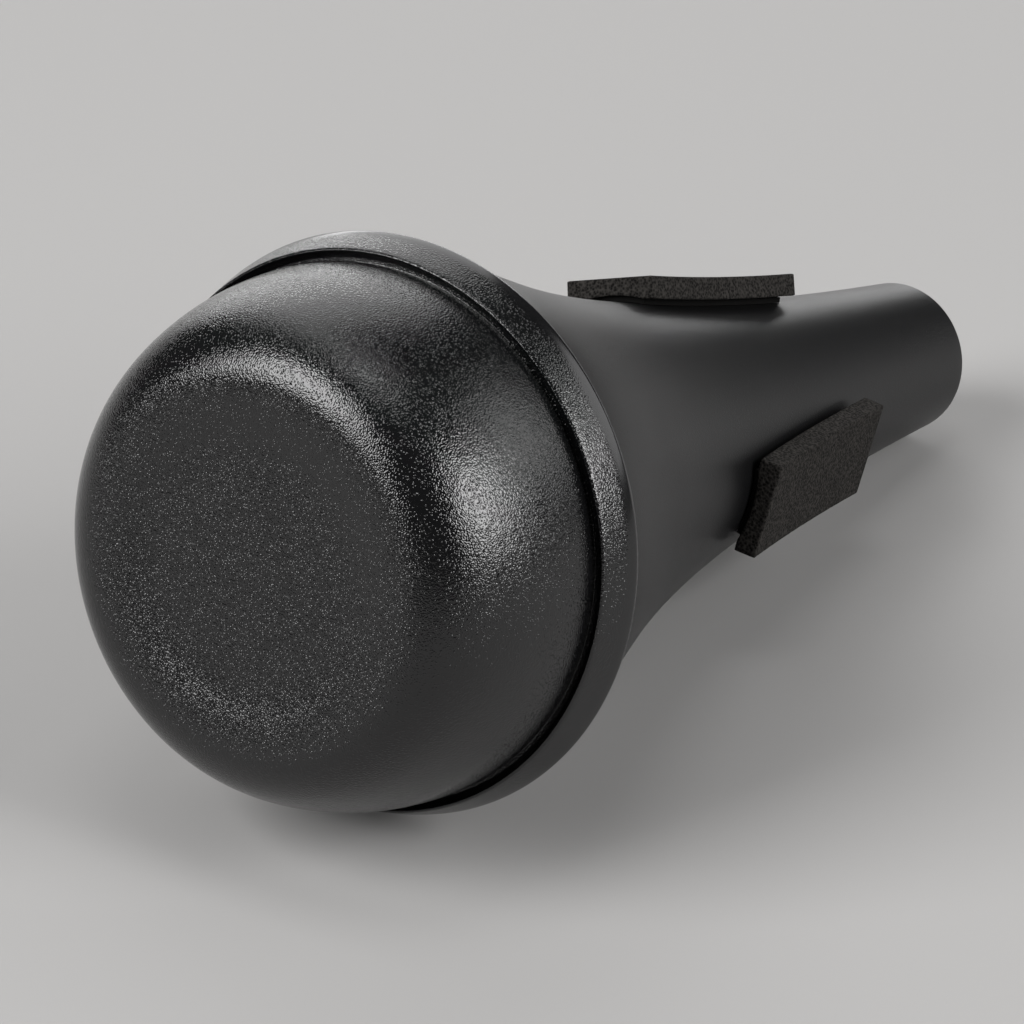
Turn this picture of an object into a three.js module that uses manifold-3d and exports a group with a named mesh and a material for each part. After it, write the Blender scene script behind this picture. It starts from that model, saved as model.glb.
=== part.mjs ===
import * as THREE from "three";
import { mergeVertices } from "three/addons/utils/BufferGeometryUtils.js";
import Module from "manifold-3d";

// A straight mute for a small brass instrument, lying on its side on its rim and its tail.
// Lengths are millimetres and angles are degrees. A station is a place along the mute's axis:
// zero is the front crest of the rim, minus lies towards the dished end and plus towards the
// open tail. A share is a plain ratio.

// End cap: the bowl with its dished end
const capWall = 2.2;
const bowlDepth = 25.65;
const ringRadius = 24.2;
const dishDepth = 0.76;
const dishFloorRadius = 14.5;
const dishReachShare = 0.5;
const ringReachShare = 0.487;
const shoulderRadius = 34.5;
const shoulderDepth = 10.25;
const shoulderReach = 5.8;
const shoulderSlopeShare = 0.35;
const wallLip = 0.5;
const wallRound = 0.8;

// End cap: the rim, its groove and the channel that takes the cone
const capRadius = 40;
const rimLength = 7;
const crestInset = 1.5;
const crestLand = 0.3;
const grooveWidth = 2.1;
const grooveFloorWidth = 0.8;
const grooveDepth = 1.2;
const bandLength = 4.3;
const bandInset = 0.3;
const rimRound = 1.3;
const edgeInset = 0.6;
const skirtWall = 2.2;
const spigotWall = 2;
const spigotChamfer = 0.6;
const jointClearance = 0.3;

// Cone shell: a flared tube with an open tail
const coneWall = 2;
const coneLength = 140.2;
const tongueLength = 3.6;
const tailRadius = 11.8;
const tailRound = 0.6;
const boreRound = 0.3;
const mouthReachShare = 0.173;
const mouthSlopeShare = 0.2;
const tailReachShare = 0.767;
const tailSlopeShare = 0.07;

// Foam pads and the adhesive film under each
const padCount = 3;
const padLength = 39.4;
const padWidth = 14.6;
const padThickness = 3.3;
const padFromTail = 40.4;
const padCrush = 0.75;
const filmThickness = 0.3;
const filmWidth = 10;
const filmInset = 1;
const seatGap = 0.3;
const padRollDegrees = -16.6;
const padSpacingDegrees = 116.6;

// Fineness of the round shapes
const turns = 60;
const coneSteps = 14;
const bowlSteps = 5;
const padSteps = 8;
const curveSamples = 400;

const wasm = await Module();
wasm.setup();

const point = (radius, station) => new THREE.Vector2(radius, station);

// Stations and radii that follow from the sizes above
const ringStation = -bowlDepth;
const dishStation = ringStation + dishDepth;
const shoulderStation = ringStation + shoulderDepth;
const crestRadius = capRadius - crestInset;
const grooveRadius = crestRadius - grooveWidth;
const mouthRadius = capRadius - skirtWall - jointClearance;
const mouthStation = rimLength;
const tongueStation = mouthStation - tongueLength;
const channelStation = tongueStation - jointClearance;
const tailStation = mouthStation + coneLength;
const padTailStation = tailStation - padFromTail;
const padBowlStation = padTailStation - padLength;

// A polyline moved sideways by a distance, to the left of its heading in the radius and
// station plane, so that a wall keeps its thickness round a bend
function offsetLine(points, distance) {
  return points.map((here, index) => {
    const before = points[Math.max(index - 1, 0)];
    const after = points[Math.min(index + 1, points.length - 1)];
    const heading = after.clone().sub(before).normalize();
    return point(here.x - heading.y * distance, here.y + heading.x * distance);
  });
}

// A profile of radii and stations turned about the axis, with a flat facet straight down
function revolve(profile) {
  const halfFacet = Math.PI / turns;
  return new THREE.LatheGeometry(profile, turns, halfFacet);
}

// The outside of the bowl, from its centre to the floor of the groove
function bowlOutline() {
  const lipRadius = grooveRadius + wallLip;
  const ringSpan = shoulderRadius - ringRadius;
  const dishSpan = ringRadius - dishFloorRadius;
  const wallTurn = shoulderStation + (lipRadius - shoulderRadius) / shoulderSlopeShare;
  const outline = new THREE.Path();
  outline.moveTo(0, dishStation);
  outline.lineTo(dishFloorRadius, dishStation);
  outline.bezierCurveTo(
    dishFloorRadius + dishReachShare * dishSpan, dishStation,
    ringRadius - dishReachShare * dishSpan, ringStation,
    ringRadius, ringStation,
  );
  outline.bezierCurveTo(
    ringRadius + ringReachShare * ringSpan, ringStation,
    shoulderRadius - shoulderSlopeShare * shoulderReach, shoulderStation - shoulderReach,
    shoulderRadius, shoulderStation,
  );
  outline.quadraticCurveTo(lipRadius, wallTurn, lipRadius, -wallRound);
  outline.quadraticCurveTo(lipRadius, 0, grooveRadius, grooveDepth);
  return outline.getPoints(bowlSteps);
}

// The rim from the floor of the groove over the crest and the band to the rear edge
function rimOutline() {
  const bandRadius = capRadius - bandInset;
  const outline = new THREE.Path();
  outline.moveTo(grooveRadius + grooveFloorWidth, grooveDepth);
  outline.lineTo(crestRadius - crestLand, 0);
  outline.lineTo(crestRadius, crestLand);
  outline.lineTo(bandRadius, bandLength);
  outline.lineTo(capRadius, rimLength - rimRound);
  outline.quadraticCurveTo(
    capRadius, rimLength - rimRound / 2,
    capRadius - edgeInset, rimLength,
  );
  return outline.getPoints(bowlSteps);
}

// End cap: one moulding whose rear channel, between the skirt and the spigot, takes the cone
function endCap() {
  const outside = bowlOutline();
  const skirtRadius = mouthRadius + jointClearance;
  const spigotRadius = mouthRadius - coneWall - jointClearance;
  const spigotBore = spigotRadius - spigotWall;
  const bowlInside = offsetLine(outside, capWall).filter((p) => p.y < -wallRound && p.x > 0);
  return revolve([
    ...outside,
    ...rimOutline(),
    point(skirtRadius, rimLength),
    point(skirtRadius, channelStation),
    point(spigotRadius, channelStation),
    point(spigotRadius, rimLength - spigotChamfer),
    point(spigotRadius - spigotChamfer, rimLength),
    point(spigotBore, rimLength),
    point(spigotBore, grooveDepth),
    ...bowlInside.reverse(),
    point(0, dishStation + capWall),
  ]);
}

// The outside of the cone from the rim's rear edge to the start of the rounded tail
const mouthReach = mouthReachShare * coneLength;
const tailReach = tailReachShare * coneLength;
const coneCurve = new THREE.CubicBezierCurve(
  point(mouthRadius, mouthStation),
  point(mouthRadius - mouthSlopeShare * mouthReach, mouthStation + mouthReach),
  point(tailRadius + tailSlopeShare * tailReach, tailStation - tailReach),
  point(tailRadius, tailStation - tailRound),
);
const coneSamples = coneCurve.getPoints(curveSamples);

// The cone's outside radius at a station
function coneRadius(station) {
  const index = coneSamples.findIndex((sample) => sample.y >= station);
  const [low, high] = [coneSamples[index - 1], coneSamples[index]];
  return THREE.MathUtils.mapLinear(station, low.y, high.y, low.x, high.x);
}

// Cone shell: its front edge is a plain tongue that seats in the cap's channel
function coneShell() {
  const outside = [point(mouthRadius, tongueStation), ...coneCurve.getPoints(coneSteps)];
  const inside = offsetLine(outside, coneWall);
  const tail = new THREE.Path();
  const boreRadius = tailRadius - coneWall;
  tail.moveTo(tailRadius, tailStation - tailRound);
  tail.quadraticCurveTo(tailRadius, tailStation, tailRadius - tailRound, tailStation);
  tail.lineTo(boreRadius + boreRound, tailStation);
  tail.lineTo(boreRadius, tailStation - boreRound);
  return revolve([
    point(mouthRadius - coneWall, tongueStation),
    ...outside,
    ...tail.getPoints(padSteps / 2).slice(1),
    ...inside.slice(1, -1).reverse(),
    point(mouthRadius - coneWall, tongueStation),
  ]);
}

// A closed solid made of a geometry whose corners are shared
function solidOf(geometry) {
  const corners = geometry.clone();
  corners.deleteAttribute("normal");
  corners.deleteAttribute("uv");
  const merged = mergeVertices(corners);
  return new wasm.Manifold(new wasm.Mesh({
    numProp: 3,
    vertProperties: merged.attributes.position.array,
    triVerts: new Uint32Array(merged.index.array),
  }));
}

// The geometry of a joined or cut solid
function geometryOf(solid) {
  const mesh = solid.getMesh();
  const geometry = new THREE.BufferGeometry();
  geometry.setAttribute("position", new THREE.BufferAttribute(mesh.vertProperties, mesh.numProp));
  geometry.setIndex(new THREE.BufferAttribute(mesh.triVerts, 1));
  return geometry;
}

// Evenly spaced stations between two stations
function stationsBetween(start, end, steps) {
  return Array.from({ length: steps + 1 }, (_, i) => THREE.MathUtils.lerp(start, end, i / steps));
}

// A slab that follows the cone's flare: a side outline, between a height above the cone and
// that height plus a thickness, given a width across the mute
function flareSlab(start, end, height, thickness, width) {
  const stations = stationsBetween(start, end, padSteps);
  const under = stations.map((s) => point(coneRadius(s) + height, s));
  const over = offsetLine(under, -thickness);
  const outline = [...under, ...over.reverse()].map((p) => new THREE.Vector2(p.y, p.x));
  const slab = new THREE.ExtrudeGeometry(new THREE.Shape(outline), {
    depth: width,
    bevelEnabled: false,
  });
  slab.translate(0, 0, -width / 2);
  const alongAxis = new THREE.Vector3(0, 1, 0);
  const outward = new THREE.Vector3(1, 0, 0);
  const across = new THREE.Vector3(0, 0, -1);
  return slab.applyMatrix4(new THREE.Matrix4().makeBasis(alongAxis, outward, across));
}

// The round solid inside a surface that lies a height above the cone
function roundSeat(start, end, height) {
  const stations = stationsBetween(start, end, padSteps);
  const side = stations.map((s) => point(coneRadius(s) + height, s));
  return revolve([point(0, start), ...side, point(0, end)]);
}

const filmTop = seatGap + filmThickness;
const padOverrun = padThickness;

// Foam pad: flat across, so its long edges stand off the round cone. Its middle is crushed
// on to the film.
function foamPad() {
  const seatHeight = filmTop + seatGap;
  const slab = flareSlab(
    padBowlStation, padTailStation, seatHeight - padCrush, padThickness, padWidth,
  );
  const seat = roundSeat(padBowlStation - padOverrun, padTailStation + padOverrun, seatHeight);
  return geometryOf(solidOf(slab).subtract(solidOf(seat)));
}

// Adhesive film: a narrow strip that hugs the round of the cone under the pad's middle
function adhesiveFilm() {
  const start = padBowlStation + filmInset;
  const end = padTailStation - filmInset;
  const strip = flareSlab(start, end, -padThickness, 2 * padThickness, filmWidth);
  const outer = solidOf(roundSeat(start - padOverrun, end + padOverrun, filmTop));
  const inner = solidOf(roundSeat(start - padOverrun, end + padOverrun, seatGap));
  return geometryOf(solidOf(strip).intersect(outer).subtract(inner));
}

// The tilt at which the rim and the tail touch the floor together, worked out on the facets
function restTilt(capProfile, coneProfile) {
  const facetShare = Math.cos(Math.PI / turns);
  const slope = (rim, tail) => facetShare * (rim.x - tail.x) / (tail.y - rim.y);
  const steepest = (tail) => Math.max(...capProfile.map((rim) => slope(rim, tail)));
  return Math.atan(Math.min(...coneProfile.map(steepest)));
}

const satinPlastic = { color: 0x1b1b1c, roughness: 0.45, metalness: 0 };
const mattePlastic = { color: 0x1e1e20, roughness: 0.6, metalness: 0 };
const foam = { color: 0x2b2a28, roughness: 0.95, metalness: 0 };
const film = { color: 0x302d2b, roughness: 0.5, metalness: 0 };

// A named piece of the mute
function piece(name, geometry, finish) {
  const mesh = new THREE.Mesh(geometry, new THREE.MeshStandardMaterial(finish));
  mesh.name = name;
  return mesh;
}

const cap = endCap();
const cone = coneShell();
const padShape = foamPad();
const filmShape = adhesiveFilm();

const mute = new THREE.Group();
mute.add(piece("end_cap", cap, satinPlastic));
mute.add(piece("cone_shell", cone, mattePlastic));
for (let i = 0; i < padCount; i += 1) {
  const seat = new THREE.Group();
  seat.rotation.y = THREE.MathUtils.degToRad(padRollDegrees + padSpacingDegrees * i);
  seat.add(piece(`foam_pad_${i + 1}`, padShape, foam));
  seat.add(piece(`pad_adhesive_${i + 1}`, filmShape, film));
  mute.add(seat);
}

// Lay the mute down: its axis heads along +X and sinks towards the tail
const rimSide = rimOutline();
const tailSide = [point(tailRadius, tailStation - tailRound), point(tailRadius, tailStation)];
const tilt = restTilt(rimSide, tailSide);
mute.quaternion.setFromRotationMatrix(new THREE.Matrix4().makeBasis(
  new THREE.Vector3(Math.sin(tilt), 0, Math.cos(tilt)),
  new THREE.Vector3(Math.cos(tilt), 0, -Math.sin(tilt)),
  new THREE.Vector3(0, 1, 0),
));

// Stand it on the floor with the middle of its outline at the origin
const extent = new THREE.Box3().setFromObject(mute, true);
const middle = extent.getCenter(new THREE.Vector3());
mute.position.set(-middle.x, -middle.y, -extent.min.z);

const part = new THREE.Group();
part.add(mute);

export default part;
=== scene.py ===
import math

import bmesh
import bpy
import numpy as np
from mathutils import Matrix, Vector


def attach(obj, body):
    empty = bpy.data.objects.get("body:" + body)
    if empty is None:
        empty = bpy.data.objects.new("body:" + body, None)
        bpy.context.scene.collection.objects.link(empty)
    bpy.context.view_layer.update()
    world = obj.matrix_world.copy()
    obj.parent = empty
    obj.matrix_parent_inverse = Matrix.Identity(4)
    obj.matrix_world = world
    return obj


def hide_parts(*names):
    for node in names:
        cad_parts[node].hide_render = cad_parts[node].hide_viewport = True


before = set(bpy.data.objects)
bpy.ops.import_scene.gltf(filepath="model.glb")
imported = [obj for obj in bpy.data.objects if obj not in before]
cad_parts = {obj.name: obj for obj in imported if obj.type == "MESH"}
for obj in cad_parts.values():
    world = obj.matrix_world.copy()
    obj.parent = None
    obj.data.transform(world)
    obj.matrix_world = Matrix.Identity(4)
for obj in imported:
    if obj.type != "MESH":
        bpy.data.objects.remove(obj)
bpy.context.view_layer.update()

# The viewpoint. A long lens looks down at the dished end from the mute's left, a little above
# the table, so the round rims show as slightly flattened circles.
MM = 0.001
eye = Vector((-541.00, -351.59, 339.37)) * MM
gaze = Vector((0.7417, 0.5026, -0.4442))
sensor_width, focal_length, farthest = 36, 175.78, 20
lens = bpy.data.cameras.new("viewpoint")
lens.sensor_width = sensor_width
lens.lens = focal_length
lens.clip_end = farthest
camera = bpy.data.objects.new("viewpoint", lens)
camera.location = eye
camera.rotation_euler = gaze.to_track_quat("-Z", "Y").to_euler()
bpy.context.scene.collection.objects.link(camera)
bpy.context.scene.camera = camera

# End cap. One black plastic moulding: a dished disc inside a rounded ring, a shoulder, a nearly
# straight wall, a narrow groove and a raised rim. The mould's etched skin leaves a fine grain
# on everything but the strip behind the rim's band. A channel at the back takes the cone.
TILT = math.radians(11.268)
CREST = np.array((-58.318, 0, 40.320)) * MM
ALONG = np.array((math.cos(TILT), 0, -math.sin(TILT)))
ABOVE = np.array((math.sin(TILT), 0, math.cos(TILT)))
ASIDE = np.array((0, 1, 0))
SIDES = 60
FACET = math.cos(math.pi / SIDES)

disc_radius, disc_station = 14.5, -24.89
ring_radius, ring_station = 24.2, -25.65
ring_handle, shoulder_handle = (29.216, -25.65), (32.47, -21.2)
shoulder_radius, shoulder_station = 34.5, -15.4
lip_radius, lip_station, wall_bend = 36.9, -0.8, -8.54
groove_radius, groove_depth, groove_floor = 36.4, 1.2, 0.8
crest_radius, crest_land = 38.5, 0.3
band_radius, band_end = 39.7, 4.3
rim_radius, rim_round, edge_radius = 40, 1.3, 39.4
rim_end, channel_floor = 7, 3.1
skirt_radius, spigot_radius, spigot_bore, spigot_chamfer = 37.8, 35.2, 33.2, 0.6
cap_wall = 2.2
cap_corner = 0.13
cap_turns, turned_weld = 300, 1e-7

cap_black = (0.004, 0.004, 0.0043, 1)
cap_roughness = (0.2, 0.1)
cap_gloss = 0.55
grain_pitch = 0.22 * MM
grain_height = 0.06 * MM
grain_fade = 0.2
pip_pitch = 0.34 * MM
pip_radius_share = 0.42
pip_height_share = 0.7
wear_pitch, wear_detail, wear_range = MM / 0.06, 4, (0.92, 1.08)


def arc(start, first_handle, second_handle, end, count=60):
    """A cubic Bezier in the plane of radius and station, drawn from start towards the first
    handle and into end from the second."""
    t = np.linspace(0, 1, count)[:, None]
    near = (1 - t) ** 3 * np.array(start) + 3 * t * (1 - t) ** 2 * np.array(first_handle)
    return near + 3 * t ** 2 * (1 - t) * np.array(second_handle) + t ** 3 * np.array(end)


def bow(start, bend, end):
    """A parabola from start to end that leaves and arrives on the lines through bend."""
    start, bend, end = (np.array(p) for p in (start, bend, end))
    return arc(start, start + (bend - start) * 2 / 3, end + (bend - end) * 2 / 3, end)


def beside(line, distance):
    """A line moved sideways: each point goes the distance along the normal there."""
    heading = np.gradient(line, axis=0)
    heading /= np.linalg.norm(heading, axis=1, keepdims=True)
    return line + distance * np.stack([-heading[:, 1], heading[:, 0]], axis=1)


def softened(line, corner, closed, fineness=4, widest_bend=math.radians(8), longest_gap=2.5):
    """A profile with its corners eased. It is sampled evenly, so many times finer than the
    corner, and blurred along its length with a bell curve as wide as the corner, going on
    round a closed profile and mirrored past the axis on an open one. Then it is thinned: a
    point stays wherever the widest bend or the longest gap since the last is reached."""
    step = corner / fineness
    if closed:
        line = np.vstack([line, line[:1]])
    place = np.concatenate([[0], np.cumsum(np.linalg.norm(np.diff(line, axis=0), axis=1))])
    even = np.linspace(0, place[-1], int(place[-1] / step))
    fine = np.stack([np.interp(even, place, line[:, k]) for k in (0, 1)], axis=1)
    reach = 4 * fineness
    before, after = fine[-reach - 1:-1], fine[1:reach + 1]
    if not closed:
        before, after = after[::-1] * (-1, 1), before[::-1] * (-1, 1)
    bell = np.exp(-(np.arange(-reach, reach + 1) / fineness) ** 2 / 2)
    bell /= bell.sum()
    padded = np.vstack([before, fine, after])
    fine = np.stack([np.convolve(padded[:, k], bell, "valid") for k in (0, 1)], axis=1)
    heading = np.unwrap(np.arctan2(*np.gradient(fine, axis=0).T))
    bending = np.abs(np.gradient(heading)) / widest_bend
    cost = np.cumsum(bending + step / longest_gap)
    kept = np.linspace(cost[0], cost[-1], int(cost[-1]))
    thin = np.stack([np.interp(kept, cost, fine[:, k]) for k in (0, 1)], axis=1)
    return thin[:-1] if closed else thin


def joined(mesh, distance):
    """Merges the points of a mesh that lie within a distance, and turns its faces outwards."""
    shell = bmesh.new()
    shell.from_mesh(mesh)
    bmesh.ops.remove_doubles(shell, verts=shell.verts, dist=distance)
    bmesh.ops.recalc_face_normals(shell, faces=shell.faces)
    shell.to_mesh(mesh)
    shell.free()


def turned(name, profile, turns, closed, grained_to):
    """A profile turned about the mute's axis. The point at radius r and station s gives a ring:
    the centre of the rim's crest, plus s along the axis, plus r times the cosine of the turn
    upwards and r times its sine sideways. The solids' rounds have flat facets, so r is drawn
    in to the middle of a facet. The grain attribute is 1 up to a station, then fades to 0."""
    turn = np.linspace(0, 2 * math.pi, turns, endpoint=False)[None, :, None]
    outward = np.cos(turn) * ABOVE + np.sin(turn) * ASIDE
    radius, station = profile[:, 0, None, None], profile[:, 1, None, None]
    points = CREST + (station * ALONG + radius * FACET * outward) * MM
    rows = len(profile)
    row = np.arange(rows if closed else rows - 1)[:, None] * turns
    next_row = (row + turns) % (rows * turns)
    column = np.arange(turns)[None]
    next_column = (column + 1) % turns
    corners = (row + column, row + next_column, next_row + next_column, next_row + column)
    mesh = bpy.data.meshes.new(name)
    mesh.from_pydata(points.reshape(-1, 3), [], np.stack(corners, axis=-1).reshape(-1, 4).tolist())
    grained = np.clip((grained_to - station) / grain_fade, 0, 1) * np.ones((1, turns, 1))
    mesh.attributes.new("grain", "FLOAT", "POINT").data.foreach_set("value", grained.ravel())
    joined(mesh, turned_weld)
    mesh.shade_smooth()
    return mesh


def shown(name, mesh, finish, record_slot, *nodes):
    """Puts a mesh in the scene as a piece of the mute that stands for CAD nodes."""
    piece = bpy.data.objects.new(name, mesh)
    bpy.context.scene.collection.objects.link(piece)
    mesh.materials.append(finish)
    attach(piece, "root")
    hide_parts(*nodes)
    return piece


def finish_nodes(name, colour, roughness, gloss):
    """A new material, its node tree and its shader. Gloss is the shader's specular level."""
    material = bpy.data.materials.new(name)
    material.use_nodes = True
    tree = material.node_tree
    shader = tree.nodes["Principled BSDF"]
    shader.inputs["Base Color"].default_value = colour
    shader.inputs["Roughness"].default_value = roughness
    shader.inputs["Specular IOR Level"].default_value = gloss
    return material, tree, shader


def add_node(tree, kind, values, **inputs):
    """A node of a kind with its settings, and its inputs linked where a socket is given."""
    node = tree.nodes.new(kind)
    for key, value in values.items():
        setattr(node, key, value)
    for key, value in inputs.items():
        socket = node.inputs[key.replace("_", " ")]
        if isinstance(value, bpy.types.NodeSocket):
            tree.links.new(value, socket)
        else:
            socket.default_value = value
    return node


def grained_black(name, colour, roughness, gloss, pitch, height):
    """Black plastic from an etched mould. Noise one pitch across and one height deep makes its
    skin. Round pips stand on it, one in each Voronoi cell, and fall smoothly to their edge. The
    grain attribute says how far both are there: smooth skin has the first roughness, grained
    skin the second. Slow noise makes both a little uneven, as handling does."""
    material, tree, shader = finish_nodes(name, colour, roughness[1], gloss)
    place = add_node(tree, "ShaderNodeTexCoord", {}).outputs["Object"]
    share = add_node(tree, "ShaderNodeAttribute", {"attribute_name": "grain"}).outputs["Fac"]
    skin = add_node(
        tree, "ShaderNodeTexNoise", {}, Vector=place, Scale=1 / pitch, Detail=0,
    ).outputs["Fac"]
    spread = add_node(
        tree, "ShaderNodeTexVoronoi", {}, Vector=place, Scale=1 / pip_pitch,
    ).outputs["Distance"]
    pips = add_node(
        tree, "ShaderNodeMapRange", {"interpolation_type": "SMOOTHSTEP"}, Value=spread,
        From_Max=pip_radius_share, To_Min=pip_height_share, To_Max=0,
    ).outputs["Result"]
    relief = add_node(tree, "ShaderNodeMath", {"operation": "ADD"})
    tree.links.new(skin, relief.inputs[0])
    tree.links.new(pips, relief.inputs[1])
    bump = add_node(
        tree, "ShaderNodeBump", {}, Strength=share, Distance=height, Height=relief.outputs["Value"],
    ).outputs["Normal"]
    tree.links.new(bump, shader.inputs["Normal"])
    wear = add_node(
        tree, "ShaderNodeTexNoise", {}, Vector=place, Scale=1 / wear_pitch, Detail=wear_detail,
    ).outputs["Fac"]
    matt = add_node(
        tree, "ShaderNodeMapRange", {}, Value=share, To_Min=roughness[0], To_Max=roughness[1],
    ).outputs["Result"]
    uneven = add_node(
        tree, "ShaderNodeMapRange", {}, Value=wear, To_Min=wear_range[0], To_Max=wear_range[1],
    ).outputs["Result"]
    rough = add_node(tree, "ShaderNodeMath", {"operation": "MULTIPLY"})
    tree.links.new(matt, rough.inputs[0])
    tree.links.new(uneven, rough.inputs[1])
    tree.links.new(rough.outputs["Value"], shader.inputs["Roughness"])
    return material


disc_edge = (disc_radius, disc_station)
ring_top = (ring_radius, ring_station)
slope_middle = (disc_radius + ring_radius) / 2
shoulder = (shoulder_radius, shoulder_station)
lip = (lip_radius, lip_station)
cap_front = np.vstack([
    [(0, disc_station)],
    arc(disc_edge, (slope_middle, disc_station), (slope_middle, ring_station), ring_top),
    arc(ring_top, ring_handle, shoulder_handle, shoulder),
    bow(shoulder, (lip_radius, wall_bend), lip),
    bow(lip, (lip_radius, 0), (groove_radius, groove_depth)),
])
cap_rim = np.vstack([
    [
        (groove_radius + groove_floor, groove_depth),
        (crest_radius - crest_land, 0),
        (crest_radius, crest_land),
        (band_radius, band_end),
    ],
    bow(
        (rim_radius, rim_end - rim_round), (rim_radius, rim_end - rim_round / 2),
        (edge_radius, rim_end),
    ),
])
cap_back = [
    (skirt_radius, rim_end),
    (skirt_radius, channel_floor),
    (spigot_radius, channel_floor),
    (spigot_radius, rim_end - spigot_chamfer),
    (spigot_radius - spigot_chamfer, rim_end),
    (spigot_bore, rim_end),
    (spigot_bore, groove_depth),
]
cap_inside = beside(cap_front[cap_front[:, 1] < lip_station], cap_wall)[:0:-1]
cap_middle = [(0, disc_station + cap_wall)]
cap_profile = np.vstack([cap_front, cap_rim, cap_back, cap_inside, cap_middle])
cap_profile = softened(cap_profile, cap_corner, False)
cap_mesh = turned("end_cap_shell", cap_profile, cap_turns, False, band_end)
cap_finish = grained_black(
    "cap_plastic", cap_black, cap_roughness, cap_gloss, grain_pitch, grain_height,
)
shown("end_cap_shell", cap_mesh, cap_finish, "cap_plastic", "end_cap")

# Cone shell. One hollow black plastic moulding with a finer, flatter skin than the cap's. It
# flares to the cap's channel, where its plain front edge is cemented, and narrows to an open
# tail with a rounded edge.
mouth_radius, mouth_station = 37.5, 7
tail_radius, tail_station, tail_round = 11.8, 147.2, 0.6
tongue_front, cone_wall, bore_round = 3.4, 2, 0.3
mouth_handle, tail_handle = (32.64, 31.3), (19.33, 39.75)
cone_corner = 0.12
cone_turns, cone_samples = 260, 400

cone_black = (0.005, 0.005, 0.0053, 1)
cone_roughness = (0.34, 0.34)
cone_gloss = 0.23
skin_pitch = 0.2 * MM
skin_height = 0.02 * MM

mouth = (mouth_radius, mouth_station)
tail_edge = (tail_radius, tail_station - tail_round)
cone_line = arc(mouth, mouth_handle, tail_handle, tail_edge, cone_samples)
cone_outside = np.vstack([[(mouth_radius, tongue_front)], cone_line])
cone_tail = bow(
    tail_edge, (tail_radius, tail_station), (tail_radius - tail_round, tail_station),
)
tail_bore = tail_radius - cone_wall
cone_bore = [(tail_bore + bore_round, tail_station), (tail_bore, tail_station - bore_round)]
cone_inside = beside(cone_line, cone_wall)[-3::-1]
cone_tongue = [(mouth_radius - cone_wall, tongue_front)]
cone_profile = np.vstack([cone_outside, cone_tail, cone_bore, cone_inside, cone_tongue])
cone_profile = softened(cone_profile, cone_corner, True)
cone_mesh = turned("flared_cone", cone_profile, cone_turns, True, tail_station)
cone_finish = grained_black(
    "cone_plastic", cone_black, cone_roughness, cone_gloss, skin_pitch, skin_height,
)
shown("flared_cone", cone_mesh, cone_finish, "cone_plastic", "cone_shell")

# Foam pads. Strips cut from a sheet of dark grey foam rubber, stuck along the cone where it
# meets the instrument's bell. Each is flat across, so its long edges stand off the round
# cone, and its middle is squeezed on to the adhesive.
pad_rolls = (-16.6, 100, 216.6)
pad_ends = (67.4, 106.8)
pad_width, pad_thickness, pad_edge = 14.6, 3.3, 0.22
pad_underside, seat_height = 0.15, 0.9
pad_cells, block_weld = (120, 44, 12), 1e-6

# The pit colour is painted shade, darker in the foam's cell pits where shade falls.
foam_pit_shade = (0.0032, 0.003, 0.0028, 1)
foam_skin = (0.033, 0.0305, 0.0282, 1)
foam_contrast = (0.65, 1.35)
foam_roughness, foam_gloss = 0.95, 0.1
cell_pitch, cell_depth = 0.42 * MM, 0.12 * MM
fleck_pitch, fleck_detail, fleck_roughness = MM / 1.3, 4, 0.7


def block_skin(counts):
    """The skin of a block as six grids of points from -1 to 1, two for each direction, and the
    four corners of each grid's faces."""
    points, faces, total = [], [], 0
    for axis in range(3):
        first, second = (counts[k] for k in range(3) if k != axis)
        for side in (-1, 1):
            u = np.repeat(np.linspace(-1, 1, first + 1), second + 1)
            v = np.tile(np.linspace(-1, 1, second + 1), first + 1)
            grid = np.insert(np.stack([u, v], axis=1), axis, side, axis=1)
            start = total + np.arange(first)[:, None] * (second + 1) + np.arange(second)[None]
            corners = (start, start + second + 1, start + second + 2, start + 1)
            faces.append(np.stack(corners, axis=-1).reshape(-1, 4))
            points.append(grid)
            total += len(grid)
    return np.vstack(points), np.vstack(faces)


def sewn(name, places, faces):
    """A mesh from a block's six grids, with the points merged where two grids meet."""
    mesh = bpy.data.meshes.new(name)
    mesh.from_pydata(CREST + places, [], faces.tolist())
    joined(mesh, block_weld)
    return mesh


def foam_pad(name, roll):
    """A block bent to the cone's flare. Its skin is a block with eased edges: each point is pulled
    in to a smaller block and pushed out again by the edge's radius. Length follows the cone's
    line, thickness its normal, and width a straight line across. The underside is lifted to
    the round seat where that stands higher."""
    skin, faces = block_skin(pad_cells)
    half = np.array((pad_ends[1] - pad_ends[0], pad_width, pad_thickness)) / 2
    inner = np.clip(skin * half, pad_edge - half, half - pad_edge)
    push = skin * half - inner
    push /= np.maximum(np.linalg.norm(push, axis=1, keepdims=True), 1e-9)
    length, across, height = (inner + pad_edge * push + (0, 0, half[2])).T
    station = sum(pad_ends) / 2 + length
    slope = np.gradient(cone_line[:, 0], cone_line[:, 1])
    base = np.interp(station, cone_line[:, 1], cone_line[:, 0])
    lean = np.interp(station, cone_line[:, 1], slope)
    seat = np.sqrt((base + seat_height) ** 2 - across ** 2) - base - pad_underside
    squeeze = np.maximum(seat, 0) * (1 - height / pad_thickness)
    rise = (height + squeeze) / np.sqrt(1 + lean ** 2)
    radius = base + pad_underside + rise
    station = station - lean * rise
    roll = math.radians(roll)
    outward = math.cos(roll) * ABOVE - math.sin(roll) * ASIDE
    sideways = np.cross(ALONG, outward)
    places = station[:, None] * ALONG + radius[:, None] * outward + across[:, None] * sideways
    return sewn(name, places * MM, faces)


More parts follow.
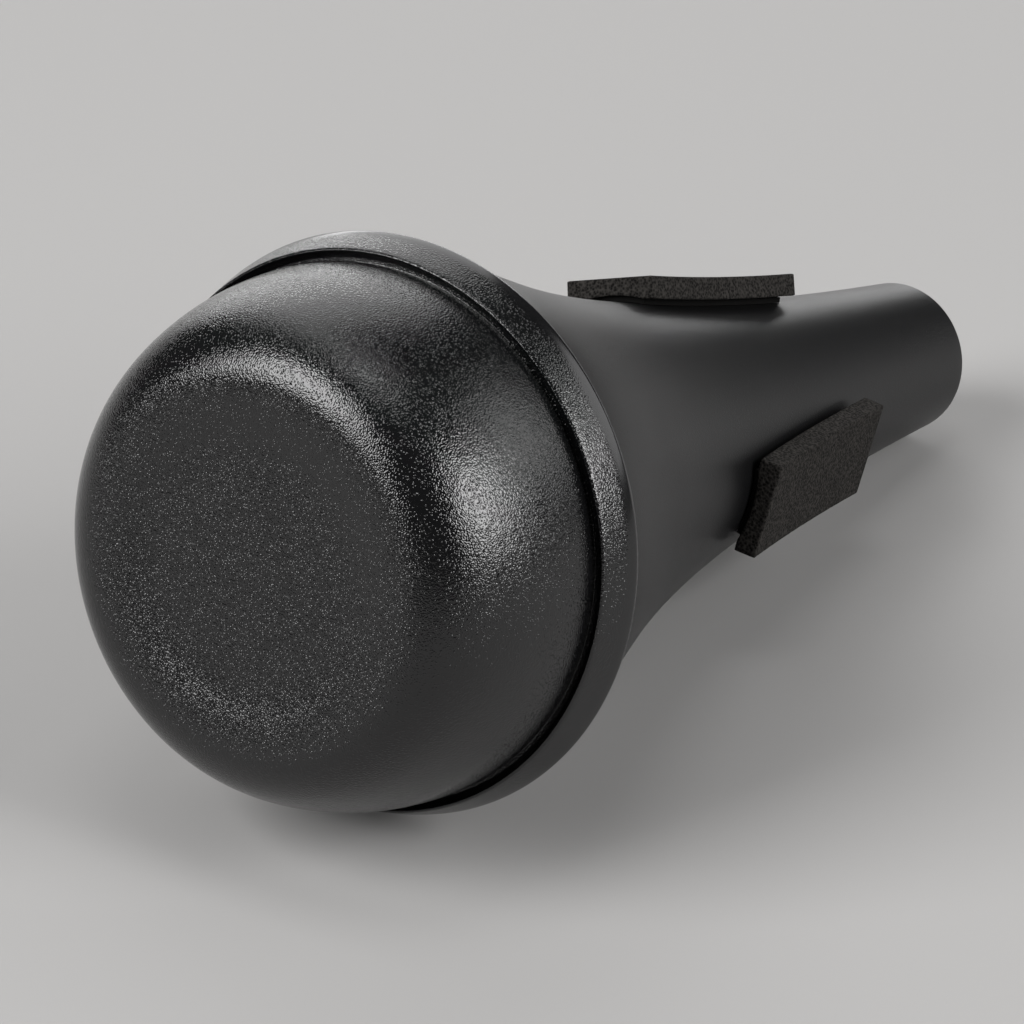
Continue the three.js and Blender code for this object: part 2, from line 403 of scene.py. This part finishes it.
def foam_rubber():
    """Foam rubber. The distance to the nearest Voronoi point, low in a cut cell and high on the
    walls between cells, and uneven noise are added. The sum is the bump's height, and it sets the
    colour from painted shade in the cell pits up to a wall's colour, the noise adding the foam's
    own flecks."""
    material, tree, shader = finish_nodes("foam", foam_skin, foam_roughness, foam_gloss)
    place = add_node(tree, "ShaderNodeTexCoord", {}).outputs["Object"]
    cells = add_node(
        tree, "ShaderNodeTexVoronoi", {}, Vector=place, Scale=1 / cell_pitch,
    ).outputs["Distance"]
    fine = add_node(
        tree, "ShaderNodeTexNoise", {}, Vector=place, Scale=1 / fleck_pitch,
        Detail=fleck_detail, Roughness=fleck_roughness,
    ).outputs["Fac"]
    pitted = add_node(tree, "ShaderNodeMath", {"operation": "ADD"})
    tree.links.new(cells, pitted.inputs[0])
    tree.links.new(fine, pitted.inputs[1])
    relief = pitted.outputs["Value"]
    bump = add_node(
        tree, "ShaderNodeBump", {}, Strength=1, Distance=cell_depth, Height=relief,
    ).outputs["Normal"]
    tree.links.new(bump, shader.inputs["Normal"])
    share = add_node(
        tree, "ShaderNodeMapRange", {}, Value=relief,
        From_Min=foam_contrast[0], From_Max=foam_contrast[1],
    ).outputs["Result"]
    pit_shade_tone = add_node(tree, "ShaderNodeValToRGB", {}, Fac=share)
    pit_shade_tone.color_ramp.elements[0].color = foam_pit_shade
    pit_shade_tone.color_ramp.elements[1].color = foam_skin
    tree.links.new(pit_shade_tone.outputs["Color"], shader.inputs["Base Color"])
    return material


foam_finish = foam_rubber()
for number, roll in enumerate(pad_rolls, 1):
    pad_mesh = foam_pad(f"bell_pad_{number}", roll)
    pad_mesh.shade_smooth()
    pad = shown(f"bell_pad_{number}", pad_mesh, foam_finish, "foam", f"foam_pad_{number}")

# Adhesive. A strip of double-sided tape under the middle of each pad, a little shorter and
# narrower than the pad. It follows the round of the cone and fills the space below the foam. Its
# near-black colour is painted shade, standing for the shadow under the pad.
film_inset, film_width = 1, 10
film_heights = (0.05, 0.85)
film_cells = (80, 24, 2)

# Near black as painted shade: the tape reads as the shadow under the pad.
film_shade_black = (0.004, 0.0038, 0.0036, 1)
film_roughness, film_gloss = 0.9, 0.1
film_pitch, film_detail, film_relief = 1.25 * MM, 3, 0.03 * MM


def adhesive_film(name, roll):
    """A block bent to the cone. Length follows the cone's line, width is an arc round the cone,
    and height is measured outwards from the cone's surface."""
    skin, faces = block_skin(film_cells)
    length, across, height = skin.T
    station = sum(pad_ends) / 2 + length * (pad_ends[1] - pad_ends[0] - 2 * film_inset) / 2
    base = np.interp(station, cone_line[:, 1], cone_line[:, 0])
    radius = base + sum(film_heights) / 2 + height * (film_heights[1] - film_heights[0]) / 2
    turn = (math.radians(roll) + across * film_width / 2 / base)[:, None]
    outward = np.cos(turn) * ABOVE - np.sin(turn) * ASIDE
    return sewn(name, (station[:, None] * ALONG + radius[:, None] * outward) * MM, faces)


film_finish, film_tree, film_shader = finish_nodes(
    "adhesive_film", film_shade_black, film_roughness, film_gloss,
)
film_place = add_node(film_tree, "ShaderNodeTexCoord", {}).outputs["Object"]
film_grain = add_node(
    film_tree, "ShaderNodeTexNoise", {}, Vector=film_place, Scale=1 / film_pitch,
    Detail=film_detail,
).outputs["Fac"]
film_bump = add_node(
    film_tree, "ShaderNodeBump", {}, Strength=1, Distance=film_relief, Height=film_grain,
).outputs["Normal"]
film_tree.links.new(film_bump, film_shader.inputs["Normal"])
for number, roll in enumerate(pad_rolls, 1):
    film_mesh = adhesive_film(f"pad_tape_{number}", roll)
    shown(f"pad_tape_{number}", film_mesh, film_finish, "adhesive", f"pad_adhesive_{number}")

# The studio. A pale table with soft light boxes far around it: a bright one on each side of the
# cap, weaker ones above it and at the cone's near side, and a wide one beyond the tail with a
# low strip under it. They stand far enough off to light the table evenly round the mute.
table_size = 12
table_grey = (0.34, 0.334, 0.33, 1)
table_roughness, table_gloss = 0.8, 0.3
box_distance = 3
sky_grey, sky_strength = (0.9, 0.9, 0.92, 1), 0.04
bpy.ops.mesh.primitive_plane_add(size=table_size)
table = bpy.context.object
table.name = "table"
table_finish = finish_nodes("table_top", table_grey, table_roughness, table_gloss)[0]
table.data.materials.append(table_finish)


def light_box(name, azimuth, elevation, size, brightness):
    """A soft light that faces the mute from a bearing and a height, both in degrees. Its face
    has the brightness all over, so its power is that times pi times its area."""
    lamp = bpy.data.lights.new(name, "AREA")
    lamp.shape = "RECTANGLE"
    lamp.size, lamp.size_y = size
    lamp.energy = brightness * math.pi * size[0] * size[1]
    box = bpy.data.objects.new(name, lamp)
    bearing, height = math.radians(azimuth), math.radians(elevation)
    level = Vector((math.cos(bearing), math.sin(bearing), 0))
    away = level * math.cos(height) + Vector((0, 0, math.sin(height)))
    box.location = away * box_distance
    box.rotation_euler = away.to_track_quat("Z", "Y").to_euler()
    bpy.context.scene.collection.objects.link(box)


light_box("left_box", 150, 35, (1.8, 2.1), 10)
light_box("right_box", -83, 26, (1.38, 1.72), 11)
light_box("right_card", -42, 28, (1.66, 1.73), 2)
light_box("top_box", 0, 90, (1.1, 1.1), 4)
light_box("high_card", 60, 60, (1.38, 1.15), 1.2)
light_box("back_box", 39, 31, (2.2, 2.2), 1.7)
light_box("back_strip", 36, 5, (2.2, 0.4), 3.5)

world = bpy.data.worlds.new("studio")
bpy.context.scene.world = world
world.use_nodes = True
sky = world.node_tree.nodes["Background"]
sky.inputs["Color"].default_value = sky_grey
sky.inputs["Strength"].default_value = sky_strength
bpy.context.scene.view_settings.view_transform = "Standard"
